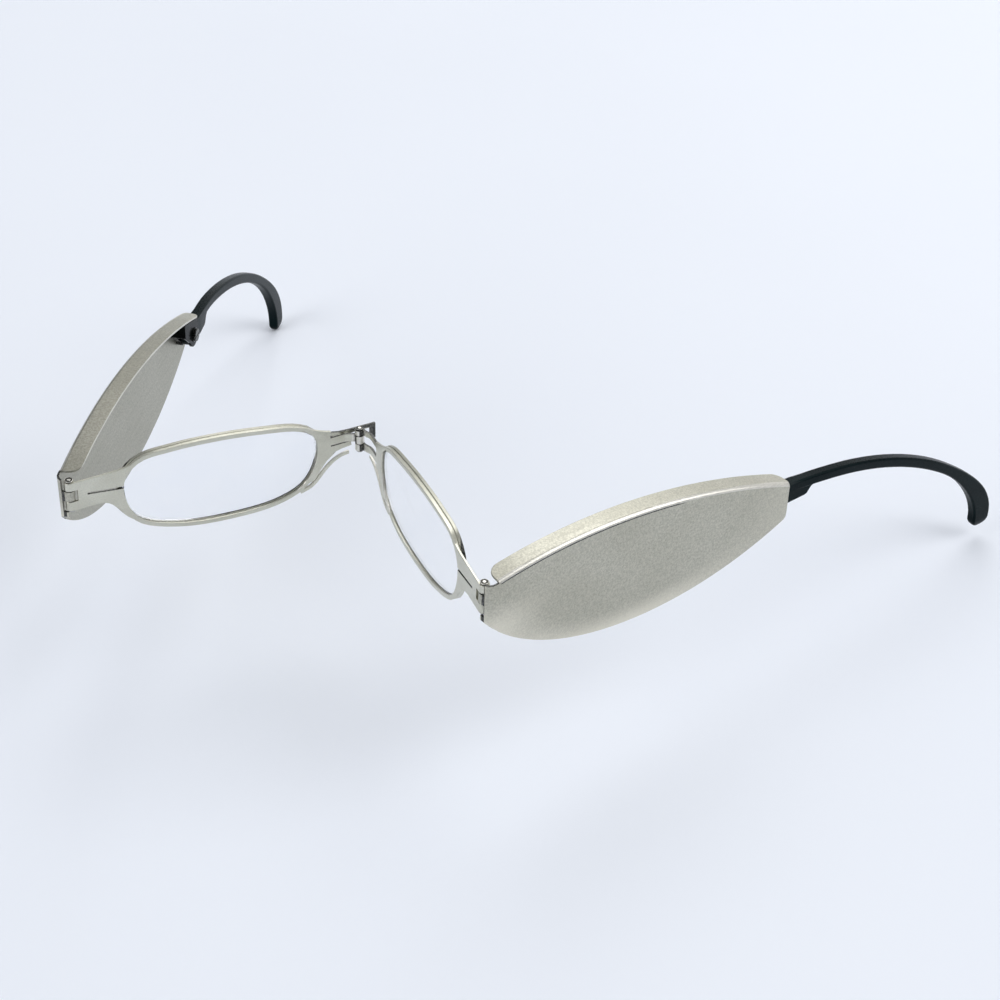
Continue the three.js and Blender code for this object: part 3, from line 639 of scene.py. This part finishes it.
def dress(node, materials, place, zone=None, reshape=None):
    """A shaded copy of a CAD node with softened edges, which stands for it."""
    source = frame["nodes"][node]
    mesh = bmesh.new()
    mesh.from_mesh(source.data)
    bmesh.ops.remove_doubles(mesh, verts=mesh.verts, dist=WELD * MM)
    if reshape is not None:
        reshape(mesh, place)
    mesh.normal_update()
    rounding = next((r for ending, r in EDGE_ROUNDING.items() if node.endswith(ending)), 0)
    mark_edges(mesh, rounding)
    for face in mesh.faces:
        face.smooth = True
        if zone is not None:
            normal = (place.to_3x3() @ face.normal).normalized()
            face.material_index = zone(place @ face.calc_center_median(), normal)
    data = bpy.data.meshes.new(node + "_look")
    mesh.to_mesh(data)
    mesh.free()
    keep_places(data, place)
    for material in materials:
        data.materials.append(material)
    made = add(node + "_look", data)
    soften(made, rounding)
    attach(made, source["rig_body"])
    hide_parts(node)
    return made


def dress_all():
    """Stands a shaded piece in for every CAD node."""
    bright = painted_highlight_steel()
    dark = oxide_and_painted_shade_steel()
    turned = turned_metal("turned_steel", STEEL_DULL, STEEL_PALE)
    sheet = blasted_steel("blasted_steel")
    # Painted shade: the shells' inner faces are evenly darker, and the left flange darkens towards
    # its front.
    inside = blasted_steel("inner_blasted_steel", SHELL_INSIDE_SHADE, SHELL_INSIDE_SHADE, sheen_and_wear=0)
    painted_shade_flange = blasted_steel("painted_shade_left_flange_steel", LEFT_FLANGE_SHADE, sheen_and_wear=0)
    shaded = pressed_steel("shaded_pressed_steel", RIM_TOP_SHADE)
    fronts = [pressed_steel("pressed_steel"), bright, dark, shaded]
    shells = {
        "left": [sheet, bright, dark, inside, painted_shade_flange],
        "right": [sheet, bright, dark, inside, sheet],
    }
    pins = [pin_end(), turned]
    glossy = glossy_plastic()
    finishes = {
        "screws": dark,
        "brass": turned_metal("turned_brass", BRASS_DULL, BRASS_PALE),
        "black_plastic": black_plastic(),
        "lens": clear_lens(),
    }
    for subpart in frame["record"]["subparts"]:
        node, slot = subpart["node"], subpart["material_slot"]
        side = node.split("_")[0]
        if node.endswith("front_frame"):
            piece = dress(node, fronts, front_frame(side), zone=front_zone)
        elif node.endswith("temple_shell"):
            piece = dress(node, shells[side], temple_frame(side), zone=shell_zone)
        elif node.endswith("hinge_pin"):
            joint = joints["bridge_fold" if side == "bridge" else side + "_temple_fold"]
            place = TO_MM @ Matrix.Translation(-Vector(joint["pos_m"]))
            piece = dress(node, pins, place, zone=pin_zone)
        elif node.endswith("bracket"):
            piece = dress(node, [glossy], TO_MM)
        elif node.endswith("lens"):
            piece = dress(node, [finishes[slot]], front_frame(side), reshape=curve_lens)
        else:
            piece = dress(node, [finishes[slot]], TO_MM)


# ---- Stage ----


def floor():
    half = FLOOR_SIDE / 2
    corners = [(-half, -half, 0), (half, -half, 0), (half, half, 0), (-half, half, 0)]
    data = bpy.data.meshes.new("floor")
    data.from_pydata(corners, [], [(0, 1, 2, 3)])
    keep_places(data, TO_MM)
    data.materials.append(floor_paint())
    add("floor", data)


def room():
    """Even pale light, dimmer low down, where the metal reflects it. The camera sees it pale."""
    world = bpy.data.worlds.new("room")
    world.use_nodes = True
    n = Nodes(world.node_tree)
    place = n.node("ShaderNodeTexCoord").outputs["Generated"]
    height = n.node("ShaderNodeSeparateXYZ", {"Vector": place}).outputs["Z"]
    light = n.ramp(height, ROOM_RISE_START, ROOM_RISE_END, ROOM_LOW, ROOM_HIGH)
    seen = n.node("ShaderNodeLightPath").outputs["Is Camera Ray"]
    strength = n.node("ShaderNodeMix", {"Factor": seen, "A": light, "B": ROOM_SEEN})
    background = n.tree.nodes["Background"]
    n.feed(background.inputs["Color"], ROOM_COLOUR)
    n.feed(background.inputs["Strength"], strength.outputs["Result"])
    bpy.context.scene.world = world


def softbox(name, place, width, height, power):
    """A soft lamp that faces the glasses, in metres and watts."""
    data = bpy.data.lights.new(name, "AREA")
    data.shape = "RECTANGLE"
    data.size = width
    data.size_y = height
    data.energy = power
    made = add(name, data)
    made.location = place
    made.rotation_mode = "QUATERNION"
    made.rotation_quaternion = (VIEW_TARGET - Vector(place)).to_track_quat("-Z", "Y")
    made.visible_camera = False


def camera():
    data = bpy.data.cameras.new("camera")
    data.sensor_width = VIEW_SENSOR
    data.lens = VIEW_LENS
    data.clip_start = VIEW_NEAR
    data.clip_end = VIEW_FAR
    made = add("camera", data)
    flat = math.cos(VIEW_ELEVATION)
    sideways, forwards = math.sin(VIEW_AZIMUTH) * flat, math.cos(VIEW_AZIMUTH) * flat
    back = Vector((sideways, -forwards, math.sin(VIEW_ELEVATION)))
    level = (-back).to_track_quat("-Z", "Y").to_matrix().to_4x4()
    made.location = VIEW_TARGET + back * VIEW_DISTANCE
    made.rotation_mode = "QUATERNION"
    made.rotation_quaternion = (level @ Matrix.Rotation(VIEW_ROLL, 4, "Z")).to_quaternion()
    bpy.context.scene.camera = made


dress_all()
floor()
room()
softbox("overhead", place=(-0.1, 0.75, 0.95), width=0.75, height=0.9, power=4.6)
softbox("side", place=(0.95, 0.2, 0.8), width=0.7, height=0.9, power=6)
softbox("front", place=(-0.7, -1.0, 0.8), width=0.8, height=0.8, power=5.4)
softbox("back", place=(0.1, 1.5, 0.28), width=1.8, height=0.5, power=2.4)
camera()
bpy.context.scene.view_settings.view_transform = "Standard"
